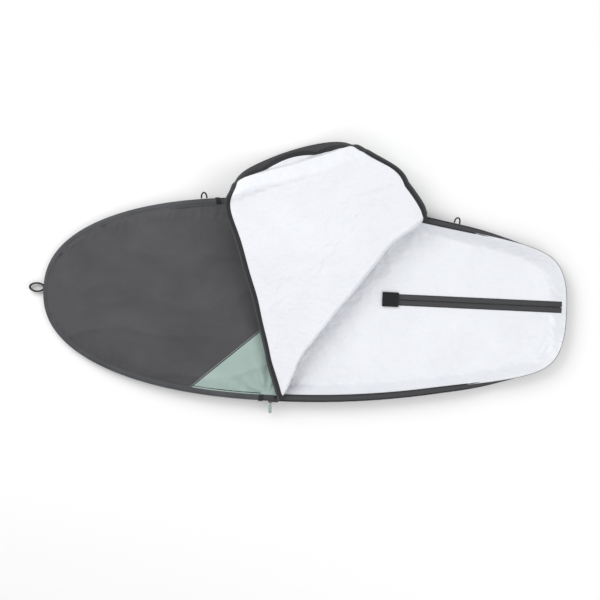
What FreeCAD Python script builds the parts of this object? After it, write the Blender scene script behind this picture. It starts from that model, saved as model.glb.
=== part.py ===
import FreeCAD, Part
import math
import os

V = FreeCAD.Vector

# A padded board bag lying open on the floor, in mm.
# +X runs to the tail, +Y is the carrying side, +Z is up, the floor is z = 0.
# The tray (base and slanted side wall) lies flat. The lid is sewn to the nose half of the rim.
# Its tail half is a flap that is folded back over the nose panel about a diagonal line.
# The flap is modelled closed and flat, cut into strips, and each strip is then turned to its
# open position about the fold lines between the strips.

# ---- plan shape of the rim
LENGTH = 1894.0            # nose to tail
WIDTH = 730.0              # across the widest place
WIDEST_X = -76.0           # where the widest place is
NOSE_POWER = 2.3           # roundness of the nose
TAIL_TAPER = 0.477         # share of the half width lost towards the tail
TAIL_POWER = 30.0          # squareness of the tail corners
TAIL_ROUND = 0.4           # roundness of the tail corners
END_SHARE = 0.77           # insets at the nose and tail, as a share of those at the sides

# ---- heights
RIM_Z = 52.0               # rim of the tray along the tail half
NOSE_RIM_Z = 16.0          # rim at the nose tip
FULL_HEIGHT_X = -150.0     # the wall has its full height from here to the tail
LID_GAP = 1.5              # lid above the rim

# ---- layers of the padded panels, inside to outside
LINING = 1.2
FOAM = 4.8
FABRIC = 1.2
PANEL = LINING + FOAM + FABRIC

# ---- insets from the rim line, at the sides
COIL_W = 4.0               # zip coil
TAPE_W = 20.0              # zip tape, out to the coil
PIPING_W = 4.0             # piping where tape and lining meet
FLOOR_INSET = 61.0         # crease between side wall and base
TAPE_T = 1.2
COIL_T = 3.0

# ---- tape turned down around the tail
TURN_FROM_X = 480.0
TURN_TO_X = 850.0
TURN_DEG = 92.0

# ---- nose panel
CROWN = 18.0               # how far it is puffed up
CROWN_FADE = 260.0         # distance from the fold over which it flattens
SEAM_A = (-402.5, -332.7)  # seam between the dark and the light cloth
SEAM_B = (-170.7, -127.2)

# ---- zip ends and sliders
ZIP_END_LOW_X = -140.0     # zip end on the -Y side
ZIP_END_HIGH_X = -328.0    # zip end on the +Y side
FOLD_LOW_X = -88.0         # the lid is free from here on the -Y side
FOLD_HIGH_X = 415.0        # and from here on the +Y side
RAIL_R = 3005.6            # the long sides follow a circle this large

# ---- flap
LID_TAIL_X = 886.0         # tail end of the lid
LID_INSET = 0.0            # how far its edge lies inside the rim
LID_POWER = 15.0
LID_ROUND = 0.48
FLAP_TAPE_W = 16.0
STRIP_GAP = 0.8            # between neighbouring strips
AXIS_LIFT = 0.8            # hinge lines above the outer cloth

# ---- mast slot
SLOT_Y = 20.0
SLOT_FROM_X = 338.0
SLOT_TO_X = 884.0
SLOT_TAPE_W = 39.0
SLOT_OPEN_W = 22.0
PATCH_X = 314.0
PATCH = (60.0, 53.0)

FOLD_LINES = [             # X on the -Y edge, X on the +Y edge, angle turned at the line
    (-84.0, 421.0, 56.0),
    (-79.0, 435.0, 56.0),
    (-74.0, 449.0, 56.0),
]
SKEW_LINE = (-68.0, 492.0)
SKEW_DEG = 6.3             # the soft lid also shears in its own plane
DROOP_LINES = [
    (695.0, 677.0, 40.0),
    (735.0, 718.0, 38.0),
]


def rim_half(x):
    """Half width of the rim at x."""
    if x < WIDEST_X:
        t = min(1.0, (WIDEST_X - x) / (WIDEST_X + LENGTH / 2))
        return WIDTH / 2 * (1 - t ** NOSE_POWER) ** (1 / NOSE_POWER)
    t = min(1.0, (x - WIDEST_X) / (LENGTH / 2 - WIDEST_X))
    return WIDTH / 2 * (1 - TAIL_TAPER * t * t) * (1 - t ** TAIL_POWER) ** TAIL_ROUND


def lid_half(x):
    """Half width of the lid at x, tail half only."""
    t = (x - WIDEST_X) / (LENGTH / 2 - WIDEST_X)
    end = min(1.0, max(0.0, (x - WIDEST_X) / (LID_TAIL_X - WIDEST_X)))
    ramp = min(1.0, max(0.0, (x - FOLD_LOW_X) / 300))
    side = WIDTH / 2 * (1 - TAIL_TAPER * t * t) - LID_INSET * ramp
    return side * (1 - end ** LID_POWER) ** LID_ROUND


def spaced(half, x_from, x_to):
    """Points along an outline, close together where it bends tightly."""
    fine = []
    for i in range(1501):
        x = x_from + (x_to - x_from) * (1 - math.cos(math.pi * i / 1500)) / 2
        fine.append((x, half(x)))
    walked = [0.0]
    for a, b in zip(fine, fine[1:]):
        step = 24.0 if b[0] < -840 or b[0] > 830 else 80.0
        walked.append(walked[-1] + math.hypot(b[0] - a[0], b[1] - a[1]) / step)
    count = max(2, math.ceil(walked[-1]))
    points = []
    k = 0
    for i in range(count + 1):
        goal = walked[-1] * i / count
        while k < len(fine) - 1 and walked[k] < goal - 1e-9:
            k += 1
        points.append(fine[k])
    return points


def side_path(side, x_from, x_to):
    """Stations on the rim, on the +Y side (1) or the -Y side (-1)."""
    return [(x, side * y) for x, y in spaced(rim_half, x_from, x_to)]


def inset(point, gap):
    """A rim point moved inwards by gap, or by END_SHARE of it at the ends."""
    x, y = point
    return x * (1 - gap * END_SHARE * 2 / LENGTH), y * (1 - gap * 2 / WIDTH)


def half_inside(x, gap):
    """Half width at x of the rim outline moved inwards by gap."""
    return rim_half(x / (1 - gap * END_SHARE * 2 / LENGTH)) * (1 - gap * 2 / WIDTH)


def rim_z(x):
    """Height of the rim at x."""
    t = min(1.0, max(0.0, (x + LENGTH / 2) / (FULL_HEIGHT_X + LENGTH / 2)))
    return NOSE_RIM_Z + (RIM_Z - NOSE_RIM_Z) * math.sin(math.pi / 2 * t)


def smooth(t):
    t = min(1.0, max(0.0, t))
    return t * t * (3 - 2 * t)


def turned(x):
    """Share of the turn of the tape at x, 0 along the sides and 1 around the tail."""
    return smooth((x - TURN_FROM_X) / (TURN_TO_X - TURN_FROM_X))


def wall_top(x):
    """Inset of the top edge of the side wall."""
    return TAPE_W - (TAPE_W - 3.0) * turned(x)


def sweep(path, profile):
    """Solid through one closed section per station; profile gives (inset, z) pairs."""
    wires = []
    for point in path:
        ring = []
        for gap, z in profile(point[0]):
            x, y = inset(point, gap)
            ring.append(V(x, y, z))
        wires.append(Part.makePolygon(ring + ring[:1]))
    return Part.makeLoft(wires, True, True)


def all_round(profile):
    """The same section all the way round the rim."""
    high = sweep(side_path(1, -LENGTH / 2, LENGTH / 2), profile)
    low = sweep(side_path(-1, -LENGTH / 2, LENGTH / 2), profile)
    return high.fuse(low)


def by_nose(profile, x_low, x_high):
    """The section from x_low on the -Y side round the nose to x_high on the +Y side."""
    low = side_path(-1, -LENGTH / 2, x_low)[::-1]
    high = side_path(1, -LENGTH / 2, x_high)
    return sweep(low + high[1:], profile)


def by_tail(profile, x_low, x_high):
    """The section from x_low on the -Y side round the tail to x_high on the +Y side."""
    low = side_path(-1, x_low, LENGTH / 2)
    high = side_path(1, x_high, LENGTH / 2)[::-1]
    return sweep(low + high[1:], profile)


def wall_layer(low, high):
    """Profile of one layer of the side wall, by height above the outside of the cloth."""
    def profile(x):
        top = wall_top(x)
        foot = rim_z(x) - PANEL
        return [(FLOOR_INSET, low), (top, foot + low), (top, foot + high), (FLOOR_INSET, high)]
    return profile


def tape_strip(start, stop, low, high):
    """Profile of a strip that leaves the wall top outwards and turns down around the tail."""
    def profile(x):
        angle = math.radians(TURN_DEG * turned(x))
        top = wall_top(x)
        z = rim_z(x)

        def at(out, up):
            return (top - out * math.cos(angle) - up * math.sin(angle),
                    z - out * math.sin(angle) + up * math.cos(angle))
        return [at(start, low), at(stop, low), at(stop, high), at(start, high)]
    return profile


def tape_profile(x):
    """The zip tape, clear of the wall top so that it can turn."""
    lift = 0.9 * turned(x)
    return tape_strip(3.2, TAPE_W - COIL_W, lift, lift + TAPE_T)(x)


def piping_profile(x):
    """The dark line between the tape and the lining."""
    top = wall_top(x) + 6
    z = rim_z(x)
    return [(top, z), (top, z + TAPE_T), (top + PIPING_W, z + TAPE_T), (top + PIPING_W, z)]


def binding_profile(x):
    """The rounded binding that closes the nose half, where there is no zip."""
    z = rim_z(x)
    return [(17, z - 5), (5, z - 4), (0, z + 1), (5, z + 6), (18.5, z + 8), (18.5, z + 1.3), (17, z + 1.3)]


def plate(points, low, high):
    """Flat plate over a closed outline, from low to high."""
    corners = [V(x, y, low) for x, y in points]
    face = Part.Face(Part.makePolygon(corners + corners[:1]))
    return face.extrude(V(0, 0, high - low))


def block(x0, x1, y0, y1, z0, z1):
    return Part.makeBox(x1 - x0, y1 - y0, z1 - z0, V(x0, y0, z0))


def beyond(a, b, shift=0.0):
    """Everything on the tail side of the vertical plane from a to b, a being the -Y end."""
    d = V(b[0] - a[0], b[1] - a[1], 0)
    d.normalize()
    side = V(d.y, -d.x, 0)
    start = V(a[0], a[1], -500) + side * shift - d * 3000
    corners = [start, start + d * 6000, start + d * 6000 + side * 4000, start + side * 4000]
    return Part.Face(Part.makePolygon(corners + corners[:1])).extrude(V(0, 0, 1500))


def floor_points():
    """Outline of the base, at the crease."""
    high = side_path(1, -LENGTH / 2, LENGTH / 2)
    low = side_path(-1, -LENGTH / 2, LENGTH / 2)[::-1]
    return [inset(p, FLOOR_INSET) for p in high + low[1:-1]]


def fold_ends():
    """The two ends of the line where the lid lifts off."""
    return (FOLD_LINES[0][0], -lid_half(FOLD_LINES[0][0])), (FOLD_LINES[0][1], lid_half(FOLD_LINES[0][1]))


def crown(x, y):
    """How far the nose panel is puffed up at a point."""
    a, b = fold_ends()
    d = math.hypot(b[0] - a[0], b[1] - a[1])
    away = ((b[0] - a[0]) * (y - a[1]) - (b[1] - a[1]) * (x - a[0])) / d
    across = min(1.0, abs(y) / max(1.0, half_inside(x, 22)))
    from_nose = smooth((x + LENGTH / 2) / 400)
    return CROWN * (1 - across ** 4) * smooth(away / CROWN_FADE) * from_nose


def nose_panel(low, high):
    """One layer of the puffed nose panel, between two heights above its underside."""
    wires = []
    x_from = -LENGTH / 2 + 22
    x_to = FOLD_HIGH_X + 45
    for i in range(25):
        x = x_from + (x_to - x_from) * (i / 24) ** 1.25
        half = half_inside(x, 22)
        across = [half * math.sin(math.pi / 2 * (k / 7)) for k in range(-7, 8)]
        z = rim_z(x) + LID_GAP
        ring = [V(x, y, z + low + crown(x, y)) for y in across]
        ring += [V(x, y, z + high + crown(x, y)) for y in across[::-1]]
        wires.append(Part.makePolygon(ring + ring[:1]))
    a, b = fold_ends()
    return Part.makeLoft(wires, True, True).cut(beyond(a, b, -STRIP_GAP / 2))


# ---- the flap, closed and flat
LID_Z = RIM_Z + LID_GAP
AXIS_Z = LID_Z + PANEL + AXIS_LIFT


def line_ends(x_low, x_high):
    return (x_low, -lid_half(x_low)), (x_high, lid_half(x_high))


def all_lines():
    """The lines across the flap from its root to its tip: ends, angle and kind."""
    lines = [line_ends(low, high) + (angle, "fold") for low, high, angle in FOLD_LINES]
    lines.append(line_ends(*SKEW_LINE) + (SKEW_DEG, "skew"))
    lines += [line_ends(low, high) + (angle, "fold") for low, high, angle in DROOP_LINES]
    return lines


def flap_points(gap):
    """Outline of the lid's tail half, moved inwards by gap."""
    high = [(x, y) for x, y in spaced(lid_half, -260.0, LID_TAIL_X)]
    low = [(x, -y) for x, y in high[::-1][1:]]
    reach = LID_TAIL_X - WIDEST_X
    return [(x - gap * END_SHARE * max(0, x - WIDEST_X) / reach, y * (1 - gap * 2 / WIDTH))
            for x, y in high + low]


def strip(solid, k):
    """The part of a flat flap layer between line k and the next one."""
    lines = all_lines()
    a, b = lines[k][:2]
    piece = solid.common(beyond(a, b, STRIP_GAP / 2))
    if k + 1 < len(lines):
        a, b = lines[k + 1][:2]
        piece = piece.cut(beyond(a, b, -STRIP_GAP / 2))
    return piece


def opened(piece, k):
    """A strip turned from its closed place to its open one."""
    for a, b, angle, kind in all_lines()[:k + 1][::-1]:
        piece = piece.copy()
        if kind == "skew":
            piece.rotate(V(a[0], a[1], 0), V(0, 0, 1), -angle)
        else:
            piece.rotate(V(a[0], a[1], AXIS_Z), V(a[0] - b[0], a[1] - b[1], 0), angle)
    return piece


STRIPS = ["turn_1", "turn_2", "turn_3", "main", "bend", "tip"]


def flap_nodes():
    panel = flap_points(FLAP_TAPE_W + 4)
    layers = {
        "flap_lining": plate(panel, LID_Z, LID_Z + LINING),
        "flap_foam": plate(panel, LID_Z + LINING, LID_Z + LINING + FOAM),
        "flap_cloth": plate(panel, LID_Z + LINING + FOAM, LID_Z + PANEL),
        "flap_tape": plate(flap_points(0), LID_Z + 2.4, LID_Z + 4.6).cut(plate(panel, LID_Z - 1, LID_Z + 9)),
    }
    nodes = {}
    for layer, solid in layers.items():
        for k, name in enumerate(STRIPS):
            nodes[layer + "_" + name] = opened(strip(solid, k), k)
    return nodes


# ---- zip sliders, built at the widest place of the +Y side
SLIDER_L = 34.0
BAR_R = 1.0
EYE_R = 3.0
PULL_DROP_DEG = 32.0       # how far the pull hangs below level
PULL_W = 12.0
PULL_L = 36.0


def slider_parts():
    """Slider, ring and pull tab on the +Y side at the widest place, before they are placed."""
    y = WIDTH / 2
    x = WIDEST_X
    z = RIM_Z
    wall = y + 4.0
    body = block(x - SLIDER_L / 2, x + SLIDER_L / 2, y - 12, wall, z + 2.2, z + 3.4)
    body = body.fuse(block(x - SLIDER_L / 2, x + SLIDER_L / 2, y - 12, wall, z - 2.2, z - 1.0))
    body = body.fuse(block(x - SLIDER_L / 2, x + SLIDER_L / 2, y + 1.6, wall, z - 1.0, z + 2.2))
    bar_y = wall + EYE_R + 0.5
    bar_z = z + 0.6
    bar_x = x - SLIDER_L / 2 + 8
    for end in (-1, 1):
        leg = bar_x + end * 5
        body = body.fuse(block(leg - 1, leg + 1, wall, bar_y + BAR_R, bar_z - BAR_R, bar_z + BAR_R))
    body = body.fuse(Part.makeCylinder(BAR_R, 10, V(bar_x - 5, bar_y, bar_z), V(1, 0, 0)))
    eye = Part.makeCylinder(EYE_R, 1.8, V(bar_x - 0.9, bar_y, bar_z), V(1, 0, 0))
    eye = eye.cut(Part.makeCylinder(BAR_R + 0.4, 4, V(bar_x - 2, bar_y, bar_z), V(1, 0, 0)))
    eye = eye.fuse(block(bar_x - 0.9, bar_x + 0.9, bar_y + 2.2, bar_y + 10, bar_z - 1.4, bar_z + 1.4))
    tab = block(bar_x - PULL_W / 2, bar_x + PULL_W / 2, bar_y + 10, bar_y + 10 + PULL_L, bar_z - 1.5, bar_z + 1.5)
    tab = tab.makeFillet(4.0, [e for e in tab.Edges if abs(e.tangentAt(0).z) > 0.9 and e.CenterOfMass.y > bar_y + 20])
    for piece in (eye, tab):
        piece.rotate(V(bar_x, bar_y, bar_z), V(1, 0, 0), -PULL_DROP_DEG)
    return {"slider": body, "pull_ring": eye, "pull_tab": tab}


def sliders():
    nodes = {}
    for name, solid in slider_parts().items():
        high = solid.copy()
        turn = math.degrees((FOLD_HIGH_X - WIDEST_X) / RAIL_R)
        high.rotate(V(WIDEST_X, WIDTH / 2 - RAIL_R, 0), V(0, 0, 1), -turn)
        nodes[name + "_high"] = high
        low = solid.mirror(V(0, 0, 0), V(0, 1, 0))
        turn = math.degrees((FOLD_LOW_X - 7 - WIDEST_X) / RAIL_R)
        low.rotate(V(WIDEST_X, RAIL_R - WIDTH / 2, 0), V(0, 0, 1), turn)
        nodes[name + "_low"] = low
    return nodes


# ---- webbing
def strap_loop(x):
    """Folded webbing loop that stands out of the +Y rail at x."""
    y = rim_half(x)
    slope = math.degrees(math.atan((rim_half(x + 5) - rim_half(x - 5)) / 10))
    z = rim_z(x)
    loop = block(x - 12.5, x + 12.5, y + 1.5, y + 24, z - 4, z + 5)
    loop = loop.cut(block(x - 20, x + 20, y + 4, y + 21.5, z - 2, z + 3))
    tail = block(x - 12.5, x + 12.5, y - 16, y + 2.5, z - 4, z - 2)
    loop = loop.fuse(tail)
    loop.rotate(V(x, y, 0), V(0, 0, 1), slope)
    return loop


def nose_loop():
    """Upright oval of webbing at the nose tip."""
    def oval(long, wide):
        line = Part.Ellipse(V(-971, 5, 4), long, wide).toShape()
        return Part.Face(Part.Wire([line])).extrude(V(0, 0, 17))
    return oval(27.5, 16.5).cut(oval(24.5, 13.5))


HANDLE_X = (-70.0, 210.0)
HANDLE_W = 25.0
HANDLE_Z = (2.0, 4.4)


def carry_handle():
    """Flat webbing handle folded under the +Y rail."""
    x0, x1 = HANDLE_X
    foot = WIDTH / 2 - 55
    edge = WIDTH / 2 - 12
    strap = block(x0, x1, foot, edge, *HANDLE_Z)
    strap = strap.cut(block(x0 + HANDLE_W, x1 - HANDLE_W, foot - 1, edge - HANDLE_W, 0, 20))
    return strap


def handle_wrap():
    """Padded sleeve round the middle of the handle."""
    mid = (HANDLE_X[0] + HANDLE_X[1]) / 2
    edge = WIDTH / 2 - 12
    sleeve = block(mid - 55, mid + 55, edge - HANDLE_W - 2, edge + 2, HANDLE_Z[0] - 1.4, HANDLE_Z[1] + 1.4)
    return sleeve.cut(block(mid - 60, mid + 60, edge - HANDLE_W, edge, *HANDLE_Z))


# ---- mast slot
def slot_tapes():
    """Two tapes along the slot and up the tail wall."""
    z = PANEL
    side = [V(PATCH_X - 12, 0, z), V(898.4, 0, z), V(940.4, 0, z + 43.2), V(939.5, 0, z + 44.1),
            V(897.9, 0, z + TAPE_T), V(PATCH_X - 12, 0, z + TAPE_T)]
    face = Part.Face(Part.makePolygon(side + side[:1]))
    tapes = []
    for start in (-SLOT_TAPE_W / 2, COIL_W / 2):
        tape = face.extrude(V(0, SLOT_TAPE_W / 2 - COIL_W / 2, 0))
        tape.translate(V(0, SLOT_Y + start, 0))
        tapes.append(tape)
    return Part.makeCompound(tapes)


def slot_coil():
    z = PANEL
    side = [V(PATCH_X - 12, 0, z), V(898.0, 0, z), V(937.0, 0, z + 40.2), V(935.4, 0, z + 41.6),
            V(897.2, 0, z + 2.2), V(PATCH_X - 12, 0, z + 2.2)]
    coil = Part.Face(Part.makePolygon(side + side[:1])).extrude(V(0, COIL_W, 0))
    coil.translate(V(0, SLOT_Y - COIL_W / 2, 0))
    return coil


def slot_patch():
    """Hook-and-loop cover over the parked slot slider, open towards the tail."""
    x0 = PATCH_X - PATCH[0] / 2
    y0 = SLOT_Y - PATCH[1] / 2
    cover = block(x0, x0 + PATCH[0], y0, y0 + PATCH[1], PANEL + 0.4, PANEL + 9.0)
    room = block(x0 + 6, x0 + PATCH[0] + 5, y0 + 6.4, y0 + PATCH[1] - 6.4, PANEL - 1, PANEL + 7.4)
    return cover.cut(room)


def slot_slider():
    x = PATCH_X - 10
    y = SLOT_Y
    z = PANEL
    body = block(x, x + 22, y - 6, y + 6, z + 2.6, z + 3.8)
    for end in (-1, 1):
        body = body.fuse(block(x, x + 22, y + end * 5.5 - 0.5, y + end * 5.5 + 0.5, z + 1.6, z + 2.6))
    body = body.fuse(block(x + 14, x + 16, y - 6, y - 4.5, z + 3.8, z + 5.2))
    body = body.fuse(block(x + 14, x + 16, y + 4.5, y + 6, z + 3.8, z + 5.2))
    return body


def slot_pull():
    x = PATCH_X - 10
    y = SLOT_Y
    z = PANEL
    pull = block(x + 13, x + 38, y - 4, y + 4, z + 4.2, z + 5.4)
    return pull


def slot_opening():
    return block(SLOT_FROM_X, SLOT_TO_X, SLOT_Y - SLOT_OPEN_W / 2, SLOT_Y + SLOT_OPEN_W / 2, -5, 50)


# ---- everything
def cover_profile(x):
    z = rim_z(x)
    return [(17.5, z - 6), (0, z - 5), (-3, z + 1), (0, z + 8), (18.5, z + 10), (18.5, z + 1.3), (17.5, z + 1.3)]


def build():
    nodes = {}
    floor = floor_points()
    cut = slot_opening()
    nodes["base_cloth"] = plate(floor, 0, FABRIC).cut(cut)
    nodes["base_foam"] = plate(floor, FABRIC, FABRIC + FOAM).cut(cut)
    nodes["base_lining"] = plate(floor, FABRIC + FOAM, PANEL).cut(cut)
    nodes["side_cloth"] = all_round(wall_layer(0, FABRIC))
    nodes["side_foam"] = all_round(wall_layer(FABRIC, FABRIC + FOAM))
    nodes["side_lining"] = all_round(wall_layer(FABRIC + FOAM, PANEL))
    nodes["slot_tapes"] = slot_tapes()
    nodes["slot_coil"] = slot_coil()
    nodes["slot_patch"] = slot_patch()
    nodes["slot_slider"] = slot_slider()
    nodes["slot_pull"] = slot_pull()

    cloth = nose_panel(LINING + FOAM, PANEL)
    light = beyond(SEAM_A, SEAM_B)
    nodes["nose_cloth_dark"] = cloth.cut(light)
    nodes["nose_cloth_light"] = cloth.common(light)
    nodes["nose_foam"] = nose_panel(LINING, LINING + FOAM)
    nodes["nose_lining"] = nose_panel(0, LINING)

    nodes["nose_binding"] = by_nose(binding_profile, ZIP_END_LOW_X - 8, ZIP_END_HIGH_X - 8)
    nodes["zip_end_low"] = sweep(side_path(-1, ZIP_END_LOW_X - 8, ZIP_END_LOW_X + 8), cover_profile)
    nodes["zip_end_high"] = sweep(side_path(1, ZIP_END_HIGH_X - 8, ZIP_END_HIGH_X + 8), cover_profile)
    x_low = ZIP_END_LOW_X + 8
    x_high = ZIP_END_HIGH_X + 8
    nodes["rim_tape"] = by_tail(tape_profile, x_low, x_high)
    out = TAPE_W - COIL_W
    nodes["rim_coil"] = by_tail(tape_strip(out, out + COIL_W, -0.6, COIL_T - 1.2), x_low, x_high)
    nodes["rim_piping"] = by_tail(piping_profile, x_low, x_high)

    def closed_tape(x):
        z = rim_z(x)
        return [(4, z + 3.9), (19, z + 3.9), (19, z + 5.1), (4, z + 5.1)]
    a, b = fold_ends()
    high = sweep(side_path(1, x_high, FOLD_HIGH_X + 20), closed_tape)
    low = sweep(side_path(-1, x_low, FOLD_LOW_X + 30), closed_tape)
    nodes["closed_tape_high"] = high.cut(beyond(a, b, -STRIP_GAP / 2))
    nodes["closed_tape_low"] = low.cut(beyond(a, b, -STRIP_GAP / 2))

    nodes["nose_loop"] = nose_loop().cut(nodes["nose_binding"])
    nodes["strap_loop_front"] = strap_loop(-376.0).cut(nodes["nose_binding"])
    nodes["strap_loop_rear"] = strap_loop(536.0).cut(nodes["rim_coil"]).cut(nodes["rim_tape"])
    nodes["carry_handle"] = carry_handle()
    nodes["handle_wrap"] = handle_wrap()
    nodes.update(sliders())
    nodes.update(flap_nodes())
    return nodes


def main():
    os.makedirs("parts", exist_ok=True)
    for name, shape in build().items():
        if len(shape.Solids) == 1:
            shape = shape.Solids[0]
        if not shape.isValid():
            print("not valid:", name)
        shape.exportStep("parts/" + name + ".step")


main()
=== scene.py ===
"""A padded board bag lying open on a pale floor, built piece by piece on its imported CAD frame."""
import math

import bmesh
import bpy
from bpy.props import FloatProperty, FloatVectorProperty, IntProperty, PointerProperty
from mathutils import Matrix, Vector, noise
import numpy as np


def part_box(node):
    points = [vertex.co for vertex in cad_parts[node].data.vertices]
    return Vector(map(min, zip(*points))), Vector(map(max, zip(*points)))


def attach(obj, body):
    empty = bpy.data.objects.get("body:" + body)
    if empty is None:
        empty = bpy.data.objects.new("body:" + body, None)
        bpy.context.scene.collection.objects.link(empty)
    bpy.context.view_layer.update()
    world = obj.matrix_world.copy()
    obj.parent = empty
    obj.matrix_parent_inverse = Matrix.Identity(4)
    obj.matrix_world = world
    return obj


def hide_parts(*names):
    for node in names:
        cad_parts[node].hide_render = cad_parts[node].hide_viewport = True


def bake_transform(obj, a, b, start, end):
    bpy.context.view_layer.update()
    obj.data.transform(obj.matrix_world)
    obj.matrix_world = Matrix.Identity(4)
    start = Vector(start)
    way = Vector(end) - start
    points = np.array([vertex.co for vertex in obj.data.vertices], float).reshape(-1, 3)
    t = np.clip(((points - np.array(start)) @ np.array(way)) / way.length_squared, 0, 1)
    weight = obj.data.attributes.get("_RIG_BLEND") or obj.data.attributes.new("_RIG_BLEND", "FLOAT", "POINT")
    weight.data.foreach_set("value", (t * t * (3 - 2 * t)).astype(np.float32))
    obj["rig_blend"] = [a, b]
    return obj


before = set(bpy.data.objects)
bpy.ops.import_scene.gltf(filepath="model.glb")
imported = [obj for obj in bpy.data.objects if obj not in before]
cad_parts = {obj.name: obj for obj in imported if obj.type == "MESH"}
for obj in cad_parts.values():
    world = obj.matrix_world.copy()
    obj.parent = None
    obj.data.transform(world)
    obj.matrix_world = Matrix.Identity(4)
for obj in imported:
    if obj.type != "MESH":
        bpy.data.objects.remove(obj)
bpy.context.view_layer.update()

bl_info = {
    "name": "Open board bag",
    "version": (1, 0, 0),
    "blender": (4, 5, 0),
    "location": "View3D > Sidebar > Board bag",
    "description": "Builds a padded board bag with its lid folded back",
    "category": "Add Mesh",
}

MM = 0.001

# ---------------------------------------------------------------- plan and heights, mm
LENGTH = 1894.0
WIDTH = 730.0
WIDEST_X = -76.0
NOSE_POWER = 2.3
TAIL_TAPER = 0.477
TAIL_POWER = 30.0
TAIL_ROUND = 0.4
END_SHARE = 0.77
RIM_Z = 52.0
NOSE_RIM_Z = 16.0
FULL_HEIGHT_X = -150.0
LID_Z = 53.5
PANEL = 7.2
AXIS_Z = LID_Z + PANEL + 0.8
TAPE_W = 20.0
FLOOR_INSET = 61.0
TURN_X = (480.0, 850.0)
TURN_DEG = 92.0
CROWN = 18.0
CROWN_FADE = 260.0
SEAM_A = Vector((-402.5, -332.7))
SEAM_B = Vector((-170.7, -127.2))
ZIP_END = (-140.0, -328.0)
LID_TAIL_X = 886.0
LID_POWER = 15.0
LID_ROUND = 0.48
SLOT_Y = 20.0
SLOT_END_X = 930.0
SLOT_UNDER_X = (338.0, 884.0)   # the strip of the slot that shows on the underside
NOSE_GAP = 20.0                 # the nose panel's cut edge, inside the rim
TRAY_CREASE_GAP = 85.0          # the tray's finer rows end this far inside the rim
TRAY_CREASE_SHARE = 0.35
TIP_DEPTH = 165.0               # from the last cut to the lid's tail
SENSOR = 36.0
VIEW_WIDTH = 2.16               # metres of floor seen from side to side
CAMERA_XY = (-0.0145, 0.0026)
CAMERA_TURN = 2.67              # degrees about Z
STITCH_PITCH = 7.0

# the lines the lid turns about, from its root to its tip:
# X on the -Y edge, X on the +Y edge, angle, kind, and the bodies either side
LINES = [
    (-84.0, 421.0, 56.0, "fold", "bag", "lid_turn_1"),
    (-79.0, 435.0, 56.0, "fold", "lid_turn_1", "lid_turn_2"),
    (-74.0, 449.0, 56.0, "fold", "lid_turn_2", "lid_turn_3"),
    (-68.0, 492.0, 6.3, "shear", "lid_turn_3", "lid_main"),
    (695.0, 677.0, 40.0, "fold", "lid_main", "lid_bend"),
    (735.0, 718.0, 38.0, "fold", "lid_bend", "lid_tip"),
]
# where one piece of the lid ends and the next begins: X on the -Y edge, X on the +Y edge
CUTS = [
    (-91.0, 405.0), (-81.5, 428.0), (-76.5, 442.0), (-71.0, 470.0),
    (320.0, 585.0), (715.0, 698.0),
]

# how the open lid leaves its plain folds: lengths in mm, curl and flare as shares of the last turn
ROLL_BOW = 44.0
TIP_CURL = 0.22
TIP_FLARE = 0.42
FLARE_REACH = 42.0
TIP_BACK = 42.0
# where the open lid is pulled off its plain folds: place, reach and shift, mm
LID_PULLS = [
    ((-265.0, 345.0), 85.0, (-38.0, 0.0)),
    ((-205.0, -20.0), 75.0, (14.0, 0.0)),
    ((-150.0, -170.0), 75.0, (18.0, 0.0)),
    ((285.0, 465.0), 85.0, (34.0, 30.0)),
    ((450.0, 320.0), 50.0, (-12.0, 0.0)),
    ((200.0, 600.0), 60.0, (-22.0, -8.0)),
    ((-285.0, 405.0), 55.0, (26.0, -20.0)),
]


# ---------------------------------------------------------------- shape of the bag
def smooth(t):
    t = min(1.0, max(0.0, t))
    return t * t * (3 - 2 * t)


def rim_half(x):
    """Half width of the rim at x."""
    if x < WIDEST_X:
        t = min(1.0, (WIDEST_X - x) / (WIDEST_X + LENGTH / 2))
        return WIDTH / 2 * (1 - t ** NOSE_POWER) ** (1 / NOSE_POWER)
    t = min(1.0, (x - WIDEST_X) / (LENGTH / 2 - WIDEST_X))
    return WIDTH / 2 * (1 - TAIL_TAPER * t * t) * (1 - t ** TAIL_POWER) ** TAIL_ROUND


def lid_half(x, gap=0.0):
    """Half width of the lid at x, moved inwards by gap."""
    t = (x - WIDEST_X) / (LENGTH / 2 - WIDEST_X)
    end = min(1.0, max(0.0, (x - WIDEST_X) / (LID_TAIL_X - gap - WIDEST_X)))
    return (WIDTH / 2 * (1 - TAIL_TAPER * t * t) - gap) * (1 - end ** LID_POWER) ** LID_ROUND


def rim_z(x):
    t = min(1.0, max(0.0, (x + LENGTH / 2) / (FULL_HEIGHT_X + LENGTH / 2)))
    return NOSE_RIM_Z + (RIM_Z - NOSE_RIM_Z) * math.sin(math.pi / 2 * t)


def turned(x):
    return smooth((x - TURN_X[0]) / (TURN_X[1] - TURN_X[0]))


def wall_top(x):
    return TAPE_W - (TAPE_W - 3.0) * turned(x)


def inset(point, gap):
    x, y = point
    return x * (1 - gap * END_SHARE * 2 / LENGTH), y * (1 - gap * 2 / WIDTH)


def half_inside(x, gap):
    return rim_half(x / (1 - gap * END_SHARE * 2 / LENGTH)) * (1 - gap * 2 / WIDTH)


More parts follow.
